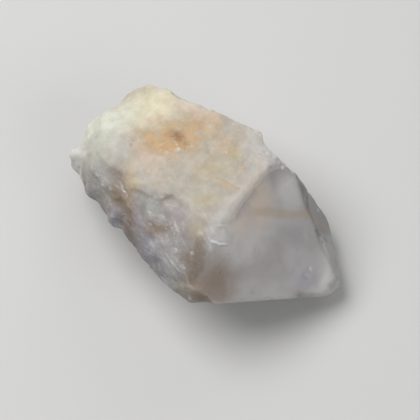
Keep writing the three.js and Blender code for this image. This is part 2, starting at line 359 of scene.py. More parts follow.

# Relief with a place of its own: each line's points, width, height (below 0 is a groove) and how white it
# is made, mostly by bruising, with painted highlights and, below 0, cracks and painted shade where a line
# says so
LINES = [
    # the lip of the crust over the hollow
    ([(-8.1, -13.6, 31.1), (-6.4, -13.4, 30.8), (-5, -12.9, 30.4), (-3.4, -12.1, 30.6)], 0.8, 0.16, 0.25),
    ([(-3.4, -12.1, 30.9), (-2.9, -10.9, 30.6), (-3, -10.3, 31.2)], 0.6, 0.12, 0.2),
    ([(-1.8, -12.3, 29.8), (-0.2, -11.5, 29.9)], 0.5, 0.16, 0.35),
    # the hollow's far rim
    (
        [(-6.3, -15.5, 29.8), (-5.2, -17.7, 29.4), (-3, -19.3, 29.4), (-0.9, -19.6, 29.5),
         (1.2, -19.1, 29.8)],
        1.1, -0.12, -0.22,
    ),
    # creases behind the left knob, darkened as painted shade
    (
        [(-31.9, -6.7, 21.5), (-27.8, -11.2, 27.2), (-25.2, -14.2, 28.6), (-24, -16.2, 27.7)],
        1.8, -0.3, -0.25,
    ),
    ([(-29.6, -12.5, 26.5), (-29.8, -9, 24.1)], 1.2, -0.12, -0.15),
    # cracks in the crust
    ([(3.7, 0.3, 31), (5.9, 0.7, 31), (7.7, 1.1, 31.1), (9.9, 1.1, 31.1)], 0.5, -0.16, -0.35),
    ([(-4.4, 6, 31), (-1.7, 4.1, 31), (1, 3.5, 31)], 0.5, -0.12, -0.2),
    ([(4.6, 7.5, 31), (6.4, 4.2, 31), (6.8, 2.2, 31)], 0.5, -0.12, -0.2),
    # fibres on the left of the crust and the grey patch
    ([(-14.6, -16, 29.8), (-12, -16.1, 30)], 0.4, 0.1, 0.4),
    ([(-14.2, -15, 29.8), (-12.4, -16, 30), (-10.5, -16.9, 30)], 0.4, 0.1, 0.45),
    ([(-22, -16.2, 29.4), (-19.7, -16.7, 29.3), (-17.5, -17.5, 28.3)], 1.2, 0.06, 0.3),
    ([(-19.5, -16.6, 30), (-17.3, -16.9, 29.9), (-15.2, -17.6, 29.3)], 1, 0.06, 0.3),
    ([(-16.9, -18.4, 27.1), (-14.5, -19.4, 27.4)], 0.6, 0.06, 0.3),
    # fibres on the low left flank
    ([(5.4, -22.1, 28.6), (7.1, -22.7, 28.3), (8.9, -23.1, 28.2), (10.4, -23.5, 28.1)], 0.5, 0.16, 0.6),
    ([(10.4, -23.5, 28.1), (12.5, -24.2, 27.5)], 0.5, 0.14, 0.4),
    ([(4.3, -23.1, 26.8), (7.2, -23.6, 27), (9.9, -24.4, 26.3)], 0.5, 0.12, 0.35),
    ([(5.3, -20.4, 30.1), (7.7, -20.9, 29.6)], 0.4, 0.1, 0.35),
    ([(6.7, -19.9, 30.1), (8.6, -20.4, 29.7)], 0.4, 0.1, 0.3),
    ([(6.3, -8.9, 31), (8.7, -10, 31), (11, -10.9, 29.8)], 0.8, 0.08, 0.3),
    ([(1.6, -14.4, 29.6), (3, -15.2, 29.8), (4.4, -15.9, 30)], 0.5, 0.1, 0.45),
    ([(6.9, -22, 29.4), (9, -22.4, 29.6), (11.3, -22.6, 28.9)], 0.5, 0.1, 0.35),
    # the bruised edge of the crust's right corner
    (
        [(9.5, 12.8, 31.1), (11.5, 12, 31), (12.3, 12.3, 30.5), (13.1, 12.9, 29.9), (14.2, 13.2, 28.4)],
        0.8, 0.1, 0.6,
    ),
    # the shell-like break: its lip and a faint one above, both whitened as a painted highlight
    (BREAK_LIP, 0.45, 0.1, 0.35),
    (BREAK_LIP[1:-1], 0.55, 0.1, 0.5),
    ([(9.7, -10.1, 30.9), (11, -9.8, 30.9), (11.9, -8.5, 30.1), (12.7, -7.7, 29.4)], 0.5, 0.1, 0.4),
    # flakes in the iron stain, their white a painted glint
    ([(-10.8, 1.3, 31.2), (-9.6, 0.9, 31.2), (-8.4, 0.4, 31.1)], 0.4, 0.08, 0.35),
    ([(-10.6, -2.1, 30.9), (-9, -3.1, 30.9)], 0.35, 0.06, 0.4),
    ([(-12.6, -1.7, 30.9), (-12.1, -0.4, 31.1)], 0.3, 0.05, 0.35),
    ([(-12.6, 2.2, 31.3), (-11.9, 3.8, 31.3)], 0.35, 0.05, 0.3),
]

# Round dents and bumps: centre, radii along the picture's width and height and through the
# stone, height, and how white
DENTS = [
    ((-2.5, -15.8, 29), (3.3, 4.4, 5), -0.25, 0.0),  # the hollow
    ((-4.5, -15.1, 29.2), (2.2, 2.6, 4), 0.12, 0.3),  # and the milky swelling in it
    ((-1.3, -15.4, 29), (0.7, 0.4, 2), 0.05, 0.6),
    ((12.6, -10.8, 29.3), (3, 2.2, 4), 0.14, 0.15),  # plate above the shell-like break
    ((-0.9, -19.4, 29.5), (2.4, 1.1, 2), 0.15, -0.25),
    ((-2.5, -10.6, 30.1), (1.2, 0.8, 2), -0.15, -0.4),  # dark pocket
    ((1.9, -23.2, 25.8), (0.8, 0.7, 2), 0.06, 0.2),
    ((10.8, -18.9, 29.4), (0.4, 0.9, 2), 0.06, 0.4),
    ((15.3, -25.5, 20.8), (0.5, 0.8, 2), 0.1, 0.5),
    ((2.3, -21.8, 28.2), (1.6, 0.8, 2), 0.08, 0.3),
    ((-18.3, -5.8, 31), (0.5, 0.6, 2), -0.1, -0.4),
    ((-10.6, -4.2, 31), (0.8, 0.6, 2), 0.06, 0.35),
    ((-10, -2.3, 31), (0.7, 0.5, 2), 0.06, 0.35),
    ((-8.5, 0.1, 31), (0.8, 0.6, 2), 0.08, 0.4),
    ((-12.3, 6.6, 31), (0.6, 0.4, 2), -0.1, -0.4),
    ((-8.4, -5.8, 31), (0.4, 0.4, 2), -0.1, -0.35),
    ((-3.7, -5.2, 31), (0.7, 0.5, 2), -0.1, -0.35),
    ((-10.8, 2.6, 30.8), (1.5, 0.9, 2), 0.1, 0.0),  # pit in the iron stain
    ((-10.5, 1.2, 31.2), (0.35, 0.4, 2), 0.06, 0.25),
    ((-10.5, -2, 30.9), (0.35, 0.3, 2), 0.06, 0.4),
    ((-9.4, 1.2, 31.2), (0.7, 0.2, 2), 0.05, 0.2),
    # painted glints: white laid on small dents at chipped edges
    ((13.9, 13.2, 28.6), (0.5, 0.7, 0.9), -0.1, 0.8),  # glints on chipped edges
    ((24.3, 14.8, 13.2), (0.4, 0.4, 0.6), -0.05, 0.8),
    ((32.5, 0.6, 14), (0.4, 0.8, 1.5), -0.05, 0.5),
    ((32.8, -1.1, 13.7), (0.8, 0.4, 1.5), -0.05, 0.3),
]

# Places where the rough stone's outline is moved in the picture's plane: centre, radii along
# the picture's width and height and through the stone, and the move to the right and up
NUDGES = [
    ((-24, 9.9, 28), (4.6, 3, 6), (0, 0.9)),  # blunt top of the broken end
    ((-29.3, 2.4, 26.7), (2.6, 2.6, 6), (0.25, -0.3)),
    ((-31, -3.6, 22.8), (2.6, 2.6, 7), (-0.75, 0.85)),
    ((-31.6, -7, 22), (2, 2, 6), (-0.35, 0.25)),
    ((-30.2, -15.2, 24.5), (1.6, 2.4, 6), (-0.45, 0.1)),  # left knob
    ((-28.2, -16.7, 23.4), (1.5, 1.5, 7), (1.0, 0.35)),  # and the taper below it
    ((-24.6, -18.2, 21.6), (1.4, 1.8, 6), (0.45, 0.1)),
    ((-21.2, -19.2, 22.4), (2, 1.6, 6), (-0.4, -0.35)),
    ((-17.2, -20.3, 24.1), (1.6, 1.6, 6), (0.4, 0.3)),
    ((-11.2, -22.3, 24), (1.4, 1.4, 6), (-0.45, -0.35)),  # the lump below the grey patch
    ((-8.6, -22.5, 23.8), (1.1, 1.1, 6), (0.4, 0.3)),
    ((0.9, -24.1, 23.5), (2.2, 2.6, 6), (-0.4, -0.35)),
    ((6.6, -25.7, 23), (2.4, 2.2, 6), (-0.45, -0.4)),
    ((18.2, -24.5, 21.6), (2.2, 1.2, 6), (0, 0.35)),
    ((14, -25.4, 21), (2.4, 1.6, 6), (-0.2, -0.3)),
    ((33.6, 8.6, 9), (2.6, 9, 8), (0.35, 0.05)),  # right facets' far edge
    ((36.6, -2.4, 9.8), (2.4, 1.2, 5), (0, -0.25)),  # tip's lower corner
    ((38.9, 1.5, 8.4), (1, 1.2, 4), (-0.45, 0.45)),
    ((-11.6, 11.9, 31.2), (3, 1.6, 4), (0.15, 0.4)),
    ((5, 15.6, 31), (1.4, 1.6, 4), (0.3, 0.3)),
    ((17.4, 13.8, 24.8), (3, 4.4, 8), (0.55, 0.45)),
    ((14.1, 12.5, 28.4), (1.4, 1.4, 4), (0.2, 0.2)),
    ((9.1, 12.5, 31.1), (1.8, 2, 4), (-0.2, -0.25)),
    ((-28.8, -2.5, 27.3), (2.4, 2, 5), (-0.2, 0.2)),
    ((-28.4, 5.4, 26.5), (1.6, 1.6, 5), (0.15, -0.25)),
    ((-27.4, -16.6, 24.2), (1, 1.4, 5), (0.25, 0.05)),
    ((-20.4, 13.2, 28), (2.4, 1.6, 5), (0.2, 0.4)),
    ((-10.6, 12.4, 31), (2, 1.4, 4), (0.1, 0.25)),
    ((-5, 13.4, 31), (2, 1.4, 4), (0.1, 0.2)),
    ((36.6, 6.2, 8), (2, 5, 6), (0.2, 0.05)),
    ((19.9, 14.2, 21), (1.2, 1.6, 4), (0.45, 0.15)),
]
NUDGE_SOFT = 0.8  # a nudge fades from this much inside its radii to this much outside them

# Rough places that are smooth in the stone: centre, radii, and how far they are melted
CALM = [
    ((-10.4, 2.6, 31), (2.6, 2.2, 4), 1.0),
    ((-2.5, -15.8, 29), (5, 5, 6), 0.7),
    ((-25, -2, 28), (9, 11, 12), 0.75),
    ((-27.5, -11, 26), (5, 6, 8), 0.6),
    ((-17, -16.8, 28), (6, 5, 7), 0.9),
]

# Lines of colour: the tan band through the big facet and round the right edge, the rust beside
# the right edge, and the pale veil at the tip. A width gives how far from the line the colour is
# whole, and how far it is gone. The wander makes it ragged.
BAND = [
    (16, 0.7, 26.8), (18.9, 3.6, 24.6), (21.5, 6.3, 22.6), (24, 9.2, 20.6), (26, 12.2, 14.7),
    (28.3, 13.4, 9.5),
]
BAND_WIDTH, BAND_WANDER = (0.3, 1.9), 0.7
RUST_LINE = [(25.8, 10.8, 17.6), (26.8, 11.4, 15.4), (28.1, 12.7, 11.4), (28.6, 14.4, 7.4)]
RUST_WIDTH, RUST_WANDER = (0.1, 1.3), 0.6
TIP_VEIL = [(29.7, 8.6, 14), (33.8, 5.8, 12.1), (36, 3.2, 11.2), (36.4, 0.8, 10.6)]
VEIL_WIDTH, VEIL_WANDER = (0.2, 1.7), 0.5
PIT = ((-10.8, 2.4, 31), (2.0, 1.3, 3), 0.7)  # the dark pit in the iron stain

# The bevel that trims the crust's right corner: a point of its edge, the way outward, its slope,
# and the corner and the tip that are bruised white beside it
BEVEL_FROM = (9.4, 12)
BEVEL_OUT = (0.62, 0.78)
BEVEL_SLOPE = 0.32
BEVEL_HEIGHTS = (26, 30)
BEVEL_STOP = (3, 6)
WHITE_RIM = (-0.2, 0.6)
WHITE_HEIGHTS = (22, 27)
WHITE_STOP = (4, 7)
BRUISED_CORNER = ((10, 12, 31), (5.6, 2.6, 3))
BRUISED_TIP = ((39.2, 0.6, 8.6), (1.6, 2, 3))
TIP_BRUISE = 0.6


# Signed distance to an outline seen from above: positive inside
def inside_outline(points, outline):
    x, y = points[:, 0], points[:, 1]
    nearest = np.full(len(points), ABOVE_ALL)
    inside = np.zeros(len(points), dtype=bool)
    for (ax, ay), (bx, by) in zip(outline, outline[1:] + outline[:1]):
        dx, dy = bx - ax, by - ay
        t = np.clip(((x - ax) * dx + (y - ay) * dy) / (dx * dx + dy * dy), 0, 1)
        nearest = np.minimum(nearest, np.hypot(x - ax - t * dx, y - ay - t * dy))
        crosses = (ay > y) != (by > y)
        at = ax + (y - ay) * dx / (dy or TINY)
        inside ^= crosses & (x < at)
    return np.where(inside, nearest, -nearest)


# Soft ball of influence round a place, squeezed to its radii, with its first axis along the
# picture's width
def near(points, centre, radii, soft=0.5):
    q = points - np.array(centre)
    c, s = math.cos(VIEW_TURN), math.sin(VIEW_TURN)
    q = np.stack([c * q[:, 0] + s * q[:, 1], c * q[:, 1] - s * q[:, 0], q[:, 2]], 1) / np.array(radii)
    return 1 - ramp(np.linalg.norm(q, axis=1), 1 - soft, 1 + soft)


def line_distance(points, line):
    nearest = np.full(len(points), ABOVE_ALL)
    for a, b in zip(line, line[1:]):
        a, b = np.array(a, float), np.array(b, float)
        d = b - a
        t = np.clip(((points - a) @ d) / (d @ d), 0, 1)
        nearest = np.minimum(nearest, np.linalg.norm(points - a - t[:, None] * d, axis=1))
    return nearest


# How far a point lies behind the ledge
def behind_ledge(points):
    line = np.array(LEDGE_LINE)
    return np.interp(points[:, 1], line[:, 1], line[:, 0]) - points[:, 0]


# Lower the crust's ridge to a curve that bends down to the big facet, and its step to a low one
def trim_ledge(points, through):
    y = points[:, 1]
    behind = behind_ledge(points)
    normal = own_normal(BIG_FACET)
    proud = points @ normal - through
    left = LEDGE_LEFT * ramp(behind, *STEP_RISE) - LEDGE_CURVE * np.maximum(behind, 0) ** 2
    ends = ramp(y, *LEDGE_START) * fall(y, *LEDGE_STOP)
    cut = np.clip(proud - left, 0, 1) * ends * ramp(behind, *TRIM_START) * fall(behind, *TRIM_STOP)
    return points - cut[:, None] * normal


# Which points lie on a flat face, which on the right facet, and which on the resting face
def find_flats(skin, own_reach):
    right = on_facet(skin, RIGHT_FACET, own_reach[RIGHT_FACET] - GROWTH_STEP)
    right |= on_facet(skin, RIGHT_FACET, own_reach[RIGHT_FACET])
    rest = (skin.points[:, 2] < FACET_SLACK) & (skin.facing[:, 2] < -RESTING_FACING)
    flat = right | rest | on_facet(skin, BIG_FACET, own_reach[BIG_FACET] - LEDGE_STEP)
    for face in (LOW_RIGHT_FACET, BOTTOM_FACET, LEFT_FACET):
        flat |= on_facet(skin, face, own_reach[face])
    # A lone rough point within a facet is flat too
    flat |= skin.smoothed(flat.astype(float), BLENDING) > MOSTLY
    return flat, right, rest


# Melt the coarse relief of the rough faces, then the edges that are fused or calm in the stone
def melt_rough(skin, melt):
    for _ in range(MELTING):
        for step in MELT_STEPS:
            skin.relax(step * melt)
    p = skin.points
    fused = np.zeros(len(p))
    for line, span, share in FUSED:
        fused = np.maximum(fused, share * fall(line_distance(p, line), *span) * melt)
    for centre, radii, share in CALM:
        fused = np.maximum(fused, share * near(p, centre, radii) * melt)
    for _ in range(FUSING):
        skin.relax(FUSE_STEP * fused)


# Move the outline. Each place is found on the stone as it was before the ledge was trimmed.
def nudge(skin, before):
    for centre, radii, (right_by, up_by) in NUDGES:
        move = right_by * np.array(VIEW_RIGHT) + up_by * np.array(VIEW_UP)
        share = near(before, centre, radii, NUDGE_SOFT) * skin.loose
        skin.points = skin.points + share[:, None] * move


# Trim the crust's right corner, and mark where it is bruised white
def cut_bevel(skin, melt):
    p = skin.points
    out = (p[:, :2] - BEVEL_FROM) @ np.array(BEVEL_OUT)
    along = (p[:, :2] - BEVEL_FROM) @ np.array((-BEVEL_OUT[1], BEVEL_OUT[0]))
    down = BEVEL_SLOPE * np.maximum(out, 0)
    p[:, 2] -= down * ramp(p[:, 2], *BEVEL_HEIGHTS) * fall(along, *BEVEL_STOP)
    white = ramp(out, *WHITE_RIM) * ramp(p[:, 2], *WHITE_HEIGHTS) * fall(along, *WHITE_STOP)
    skin.bevel = white * melt


# Each noise in the skin's colours: its size in mm, seed and octaves
CREAM_NOISE = (3.5, 5, 3)
END_NOISE = (7, 25, 3)
FOOT_NOISE = (5, 7, 2)
RAGGED_NOISE = (2.6, 131, 3)
PALE_NOISE = (3, 15, 3)
HIGH_NOISE = (4, 21, 2)
BAND_NOISE = (3, 9, 2)
RUST_NOISE = (1.6, 19, 2)
VEIL_NOISE = (2, 13, 2)

# The cream's outline: how far it wanders, on the low flank and past the ledge's end too, and
# from where to where the cream begins there, which is slower on the low left and past the ledge
CREAM_WANDER, LOW_WANDER, END_WANDER = 1.1, 3.5, 6
LOW_FLANK = (24, 29)
CREAM_OUTSIDE, CREAM_INSIDE = -0.6, 0.8
LOW_FADE, END_FADE = 2.2, 2.5
LOW_LEFT = (-9, -6)
CREAM_FOOT = (13, 22)
FOOT_WANDER = 3
# Where the cream stops at the ledge: it runs on over the low step as painted light that hides the step's
# shade
LEDGE_CREAM_STOP = (9.5, 11.5)
LEDGE_CREAM = (-0.5, -0.1)
# The paler strip behind the ledge, partly the crust's own colour and partly painted light that evens out
# the shade where the crust bends down to the facet
STRIP = (-4.6, -0.4)
STRIP_START = (-11, -8)
STRIP_WANDER = 1.6

# How proud of the stone's bulk an edge stands, and how deep a hollow lies
EDGE_HEIGHT = (0.05, 0.3)
HOLLOW_DEPTH = (0.02, 0.22)
# The bare stone's paler grey beside the facets and high up
PALE_WANDER = 0.35
HIGH_WANDER = 1.5
HIGH = (25.5, 30)
HIGH_PALE = 0.85
# The right facets' painted shade fades towards the tip
TIP_END = (28, 31)
TIP_CLEAR = 0.6


# Where the cream crust lies, and how it pales towards the ledge, partly as painted light
def mark_crust(skin, rough):
    p = skin.points
    y, z = p[:, 1], p[:, 2]
    beyond = ramp(y, *LEDGE_STOP)
    wander = (CREAM_WANDER + LOW_WANDER * fall(z, *LOW_FLANK)) * clouds(p, *CREAM_NOISE)
    wander += END_WANDER * beyond * clouds(p, *END_NOISE)
    slow = 1 + LOW_FADE * fall(y, *LOW_LEFT) + END_FADE * beyond
    crust = ramp(inside_outline(p, CRUST_EDGE) + wander, CREAM_OUTSIDE * slow, CREAM_INSIDE * slow)
    crust *= ramp(z + FOOT_WANDER * clouds(p, *FOOT_NOISE), *CREAM_FOOT) * rough
    behind = behind_ledge(p)
    ends = ramp(y, *LEDGE_START) * fall(y, *LEDGE_CREAM_STOP)
    skin.crust = crust * (1 - ends * fall(behind, *LEDGE_CREAM))
    strip = ramp(STRIP_WANDER * clouds(p, *RAGGED_NOISE) - behind, *STRIP)
    skin.ledge = skin.crust * strip * ramp(y, *STRIP_START) * (1 - skin.bevel)


# A ragged line of colour: whole on the line, gone at its width
def stripe(points, line, width, wander, noise):
    return fall(line_distance(points, line) + wander * clouds(points, *noise), *width)


def mark_colours(skin, rough, right):
    p = skin.points
    # In the material, raised edges are painted paler as a highlight and hollows darker as painted shade
    height = ((p - skin.smoothed(p, BULK_ROUNDS)) * skin.normals()).sum(1)
    skin.edge = ramp(height, *EDGE_HEIGHT)
    skin.hollow = ramp(-height, *HOLLOW_DEPTH)
    mark_crust(skin, rough)
    skin.flat = 1 - rough
    spread = skin.smoothed(skin.flat, PALE_SPREAD) + PALE_WANDER * clouds(p, *PALE_NOISE)
    high = ramp(p[:, 2] + HIGH_WANDER * clouds(p, *HIGH_NOISE), *HIGH)
    skin.pale = np.maximum(np.clip(spread, 0, 1), HIGH_PALE * high)
    # The right facets, which the material darkens as painted shade
    skin.right = skin.smoothed(right.astype(float), BLENDING)
    skin.right *= 1 - TIP_CLEAR * ramp(p[:, 0], *TIP_END)
    skin.band = stripe(p, BAND, BAND_WIDTH, BAND_WANDER, BAND_NOISE)
    skin.rust = stripe(p, RUST_LINE, RUST_WIDTH, RUST_WANDER, RUST_NOISE)
    skin.veil = stripe(p, TIP_VEIL, VEIL_WIDTH, VEIL_WANDER, VEIL_NOISE)
    skin.pit = near(p, *PIT)


def grow_skin():
    skin = Skin(remeshed(crystal_cad))
    skin.snap(crystal_cad)
    faces = (BIG_FACET, RIGHT_FACET, LOW_RIGHT_FACET, BOTTOM_FACET, LEFT_FACET)
    own_reach = {face: reach(face) + own_normal(face) @ ORIGIN for face in faces}
    ledge = on_facet(skin, BIG_FACET, own_reach[BIG_FACET])
    flat, right, rest = find_flats(skin, own_reach)
    skin.loose = np.where(rest, 0.0, 1.0)

    melt = skin.smoothed((~(flat | ledge)).astype(float), MELT_BLENDING)
    melt[flat] = 0
    melt_rough(skin, melt)
    before = skin.points
    skin.points = trim_ledge(skin.points, own_reach[BIG_FACET] - LEDGE_STEP)
    nudge(skin, before)
    for _ in range(WEAR):
        skin.relax(WEAR_STEP * skin.loose)
    cut_bevel(skin, melt)

    rough = skin.smoothed((~flat).astype(float), BLENDING)
    mark_colours(skin, rough, right)
    return skin, rough


skin, rough = grow_skin()

# The crust's relief: each layer's height in mm, then its noise's size, seed and octaves
CRUST_SWELL, CRUST_SWELL_NOISE = 0.13, (6.0, 11)
CRUST_RIDGE, CRUST_RIDGE_NOISE = 0.07, (3.2, 17)
CRUST_SUGAR, CRUST_SUGAR_NOISE = 0.04, (0.9, 23, 2)
CRUST_PLATE, PLATE_CELLS = 0.05, (2.1, 31)
PLATE_WANDER, PLATE_NOISE = 0.5, (1.5, 29, 2)
PLATE_SEAM = (0.0, 0.35)
# The bare stone's: fibres along the long axis, growth lines across it, and small breaks
BARE_SWELL, BARE_SWELL_NOISE = 0.09, (4.0, 47)
BARE_RIDGE, BARE_RIDGE_NOISE = 0.05, (2.2, 53)
BARE_SUGAR, BARE_SUGAR_NOISE = 0.03, (0.8, 59, 2)
BARE_BREAK, BREAK_CELLS = 0.05, (2.4, 97)
BREAK_WANDER, BREAK_NOISE = 0.6, (2, 37, 2)
BREAK_SEAM = (0, 0.3)
FIBRE, FIBRE_NOISE = 0.09, (1.0, 89, 3)
FIBRE_SIZE = (3.4, 0.6, 0.6)  # length and thickness of a fibre
GROWTH_LINE, GROWTH_NOISE = 0.12, (6, 41)
GROWTH_GAP = 1.3  # from one growth line to the next
GROWTH_PATCHES, PATCH_NOISE = (-0.1, 0.3), (7, 43)
RIDGE_STRETCH = (0.5, 1, 1)  # the ridges and breaks are long along the axis
BREAK_STRETCH = (0.6, 1, 1)
UNDER = (14, 20)  # height below which the growth lines show and the breaks don't
RIDGE_MEAN = 0.4
# The broken ridge on the low left, and the broken end, which is coarser
CRAG_SWELL, CRAG_SWELL_NOISE = 0.45, (3.4, 113, 3)
CRAG_RIDGE, CRAG_RIDGE_NOISE = 0.25, (2.6, 127)
CRAG_WIDTH = (0.8, 3.4)
CRAG_MEAN = 0.5
END_SWELL, END_SWELL_NOISE = 0.16, (3.2, 61)
END_RIDGE, END_RIDGE_NOISE = 0.1, (1.8, 67)
BROKEN_END = (-29, -24)  # along X
# Chips off the edges, specks on the bruised places, and the flat faces' faint swell
CHIP, CHIP_NOISE, CHIP_SPAN = 0.3, (1.7, 71, 3), (0.05, 0.5)
SPECK, SPECK_NOISE, SPECK_SPAN = 0.12, (0.75, 109, 2), (-0.05, 0.5)
FACET_SWELL, FACET_NOISE = 0.012, (6, 73, 2)

# How white the stone is bruised along its fibres, and on chips and specks
FIBRE_WHITE, UNDER_WHITE = 0.3, 0.15
FIBRE_SPAN = (0.1, 0.5)
CHIP_WHITE = 0.5
PATCHY_LEAST, PATCHY_NOISE, PATCHY_SPAN = 0.3, (1.0, 107, 2), (-0.4, 0.2)
LIP_WIDTH = (1, 2)  # the bright lip isn't patchy
# How far a line or dent strays from its place, and the share of a line's width that is whole
STRAY, STRAY_SIZE, STRAY_SEEDS = 0.25, 1.6, (101, 102, 103)
WHOLE = 0.15


def cells(points, wander, noise, size_and_seed, seam):
    nearest, second = pebbles(points + wander * noise[:, None], *size_and_seed)
    return ramp(second - nearest, *seam)


def crust_relief(p):
    plates = cells(p, PLATE_WANDER, clouds(p, *PLATE_NOISE), PLATE_CELLS, PLATE_SEAM)
    return (
        CRUST_SWELL * clouds(p, *CRUST_SWELL_NOISE)
        + CRUST_RIDGE * (ridges(p, *CRUST_RIDGE_NOISE) - RIDGE_MEAN)
        + CRUST_PLATE * (plates - 1)
        + CRUST_SUGAR * clouds(p, *CRUST_SUGAR_NOISE)
    )


def bare_relief(p, fibres, under):
    across = (p[:, 0] + 0.5 * clouds(p, *GROWTH_NOISE)) / GROWTH_GAP
    lines = np.abs(across % 1 - 0.5) * 2
    patches = ramp(clouds(p, *PATCH_NOISE), *GROWTH_PATCHES) * under
    breaks = cells(p * BREAK_STRETCH, BREAK_WANDER, clouds(p, *BREAK_NOISE), BREAK_CELLS, BREAK_SEAM)
    return (
        BARE_SWELL * clouds(p, *BARE_SWELL_NOISE)
        + BARE_RIDGE * (ridges(p * RIDGE_STRETCH, *BARE_RIDGE_NOISE) - RIDGE_MEAN)
        + BARE_BREAK * (breaks - 1) * (1 - under)
        + FIBRE * fibres
        + GROWTH_LINE * patches * (lines - 0.5)
        + BARE_SUGAR * clouds(p, *BARE_SUGAR_NOISE)
    )


# Height to add to each point, and how white it is, by bruising and painted glints, or below 0 how dark, by
# cracks and painted shade
def relief(skin, rough):
    p = skin.points
    bare = rough * (1 - skin.crust)
    fibres = clouds(p @ FIBRE_FRAME.T / FIBRE_SIZE, *FIBRE_NOISE)
    under = fall(p[:, 2], *UNDER)
    lift = skin.crust * crust_relief(p) + bare * bare_relief(p, fibres, under)
    frost = bare * ramp(fibres, *FIBRE_SPAN) * (FIBRE_WHITE - UNDER_WHITE * under)

    crags = CRAG_SWELL * clouds(p, *CRAG_SWELL_NOISE)
    crags += CRAG_RIDGE * (ridges(p, *CRAG_RIDGE_NOISE) - CRAG_MEAN)
    lift += bare * fall(line_distance(p, LEFT_RIDGE), *CRAG_WIDTH) * crags
    end = END_SWELL * clouds(p, *END_SWELL_NOISE)
    end += END_RIDGE * (ridges(p, *END_RIDGE_NOISE) - RIDGE_MEAN)
    lift += fall(p[:, 0], *BROKEN_END) * rough * end

    patchy = PATCHY_LEAST + (1 - PATCHY_LEAST) * ramp(clouds(p, *PATCHY_NOISE), *PATCHY_SPAN)
    patchy = np.maximum(patchy, fall(line_distance(p, BREAK_LIP), *LIP_WIDTH))
    strayed = p + STRAY * np.stack([ripple(p, STRAY_SIZE, seed) for seed in STRAY_SEEDS], 1)
    for line, width, height, white in LINES:
        on = fall(line_distance(strayed, line), WHOLE * width, width)
        lift += height * on
        frost += white * on * patchy
    for centre, radii, height, white in DENTS:
        on = near(strayed, centre, radii)
        lift += height * on
        frost += white * on * patchy

    chips = ramp(clouds(p, *CHIP_NOISE), *CHIP_SPAN) * skin.edge
    bruised = np.maximum(near(p, *BRUISED_CORNER), TIP_BRUISE * near(p, *BRUISED_TIP))
    specks = ramp(clouds(p, *SPECK_NOISE), *SPECK_SPAN) * np.maximum(skin.bevel, bruised)
    lift += SPECK * specks - CHIP * chips + FACET_SWELL * skin.flat * clouds(p, *FACET_NOISE)
    skin.frost = np.clip(frost + CHIP_WHITE * (chips + specks), -1, 1)
    return lift * skin.loose


# What the material reads at each point, from 0 to 1, and the frost and painted glints from -1, where below
# 0 is painted shade and cracks
MARKS = (
    "edge", "hollow", "crust", "flat", "pale", "ledge", "bevel", "right", "band", "rust", "veil", "pit",
    "frost",
)


def finish_skin(skin, lift):
    skin.points = skin.points + lift[:, None] * skin.normals()
    place = (skin.points - ORIGIN) * MM
    place = np.clip(place, np.array(cad_box[0]), np.array(cad_box[1]))
    skin.mesh.vertices.foreach_set("co", place.ravel())
    skin.mesh.update()
    for name in MARKS:
        layer = skin.mesh.attributes.new(name, "FLOAT", "POINT")
        layer.data.foreach_set("value", getattr(skin, name).astype(np.float32))
    skin.mesh.shade_smooth()


finish_skin(skin, relief(skin, rough))


# Materials

class Value:
    """A shader value, so that materials read as sums."""

    def __init__(self, tree, socket):
        self.tree = tree
        self.socket = socket

    def math(self, operation, *others):
        return self.tree.node("ShaderNodeMath", {"operation": operation}, [self, *others])

    def __add__(self, other):
        return self.math("ADD", other)

    __radd__ = __add__

    def __mul__(self, other):
        return self.math("MULTIPLY", other)

    __rmul__ = __mul__

    def __sub__(self, other):
        return self.math("SUBTRACT", other)

    def __rsub__(self, other):
        return self.tree.node("ShaderNodeMath", {"operation": "SUBTRACT"}, [other, self])

    def ramp(self, low, high, to_low=0.0, to_high=1.0):
        settings = {"interpolation_type": "SMOOTHSTEP"}
        return self.tree.node("ShaderNodeMapRange", settings, [self, low, high, to_low, to_high])


class Tree:
    """One material's nodes."""

    def __init__(self, name):
        self.material = bpy.data.materials.new(name)
        self.material.use_nodes = True
        self.nodes = self.material.node_tree.nodes
        self.links = self.material.node_tree.links
        self.nodes.clear()

    def node(self, kind, settings=None, sockets=(), output=0):
        made = self.nodes.new(kind)
        for name, setting in (settings or {}).items():
            setattr(made, name, setting)
        pairs = sockets.items() if isinstance(sockets, dict) else enumerate(sockets)
        for name, given in pairs:
            if isinstance(given, Value):
                self.links.new(given.socket, made.inputs[name])
            else:
                made.inputs[name].default_value = given
        return Value(self, made.outputs[output]) if made.outputs else None

    def vector(self, operation, sockets, output=0):
        return self.node("ShaderNodeVectorMath", {"operation": operation}, sockets, output)

    def mix(self, factor, a, b, blend="MIX"):
        sockets = {0: factor, 6: a, 7: b}
        return self.node("ShaderNodeMix", {"data_type": "RGBA", "blend_type": blend}, sockets, 2)

    def noise(self, place, size, detail=2.0, roughness=0.5, distortion=0.0, output=0):
        sockets = {
            "Vector": place, "Scale": 1 / size, "Detail": detail,
            "Roughness": roughness, "Distortion": distortion,
        }
        return self.node("ShaderNodeTexNoise", {}, sockets, output)

    # The place as seen from a patch: its centre is the origin, its radii are 1
    def local(self, place, centre, radii, turn):
        settings = {"vector_type": "TEXTURE"}
        sockets = {"Vector": place, "Location": centre, "Scale": radii, "Rotation": (0, 0, turn)}
        return self.node("ShaderNodeMapping", settings, sockets)

    def attribute(self, name):
        return self.node("ShaderNodeAttribute", {"attribute_name": name}, (), "Fac")


def linear(red, green, blue):
    """A screen colour, 0 to 255, in linear light."""
    return (*(((c / 255 + 0.055) / 1.055) ** 2.4 for c in (red, green, blue)), 1.0)


